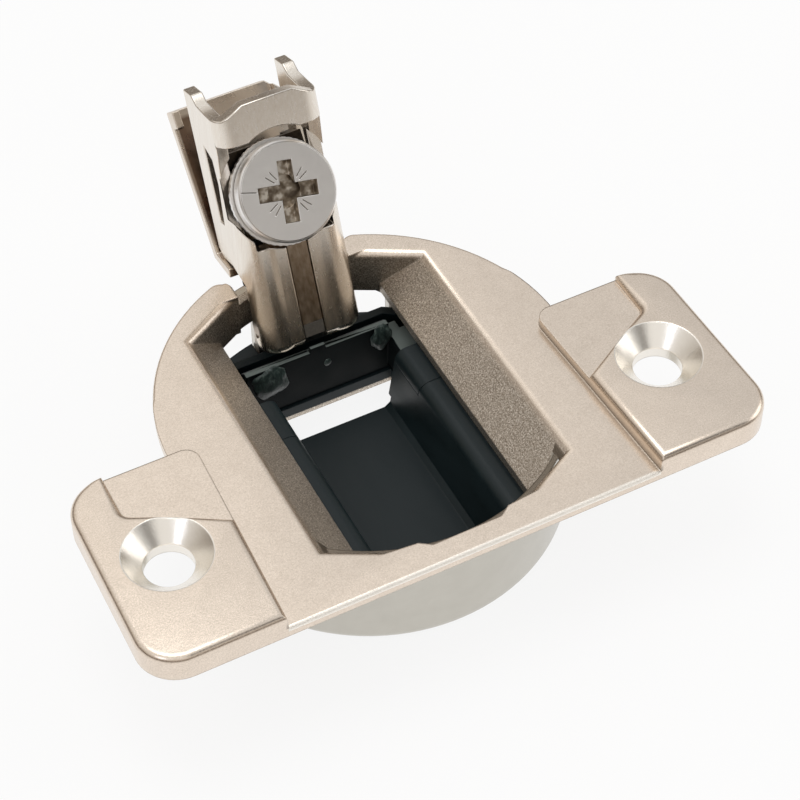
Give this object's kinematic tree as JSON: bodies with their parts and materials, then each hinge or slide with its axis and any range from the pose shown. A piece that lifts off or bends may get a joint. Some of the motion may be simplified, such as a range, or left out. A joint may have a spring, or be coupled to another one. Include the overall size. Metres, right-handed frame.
{
  "type": "concealed cup hinge",
  "caption": "Concealed cup hinge for a face-frame door: cast boss with screw pads, black liner with a sprung slider, and a folding arm with a side-adjusting cam screw.",
  "frame": {"origin": "on the cup's axis, in the plane of the flange's underside, which lies on the door", "axes": "+Z out of the door's inner face, +X along the line of the two screw pads, +Y towards the arm"},
  "size_m": [0.0564, 0.0478, 0.0308],
  "materials": {
    "plated_zinc": "satin warm nickel plating over die-cast zinc",
    "plated_steel": "bright nickel plating over folded steel",
    "screw_steel": "satin zinc-nickel plating over cold-headed steel",
    "inner_steel": "dull plated steel",
    "black_plastic": "satin black moulded acetal",
    "grey_plastic": "satin grey moulded acetal",
    "spring_steel": "oiled spring wire"
  },
  "bodies": {
    "housing": {"cup_housing": "plated_zinc", "liner": "black_plastic", "spring_cover_left": "black_plastic", "spring_cover_right": "black_plastic", "spring_guide_left": "inner_steel", "spring_guide_right": "inner_steel", "closing_spring_left": "spring_steel", "closing_spring_right": "spring_steel", "pivot_pin": "inner_steel"},
    "slider": {"slider": "black_plastic"},
    "arm": {"arm": "plated_steel", "inner_link": "inner_steel", "link_shoe": "grey_plastic", "cam_washer": "spring_steel"},
    "cam": {"cam_screw": "screw_steel", "cam_ring": "inner_steel"},
    "clamp": {"clamp_plate": "plated_steel"}
  },
  "joints": [
    {"name": "arm_fold", "type": "hinge", "parent": "housing", "child": "arm", "pos_m": [0, 0.01265, -0.00177], "axis": [1, 0, 0], "range_deg": [0, 110]},
    {"name": "slider_slide", "type": "slide", "parent": "housing", "child": "slider", "axis": [0, 1, 0], "range_m": [0, 0.00101], "deforming": ["closing_spring_left", "closing_spring_right"]},
    {"name": "cam_turn", "type": "hinge", "parent": "arm", "child": "cam", "pos_m": [0, 0.01446, 0.01119], "axis": [0, -0.766, 0.6428], "range_deg": [-90, 90]},
    {"name": "side_adjust", "type": "slide", "parent": "arm", "child": "clamp", "axis": [1, 0, 0], "range_m": [-0.0006, 0.0006]}
  ],
  "couplings": [
    {"joint": "slider_slide", "follows": "arm_fold", "m_per_rad": 0.00052087},
    {"joint": "cam_turn", "follows": "side_adjust", "rad_per_m": -2618}
  ]
}
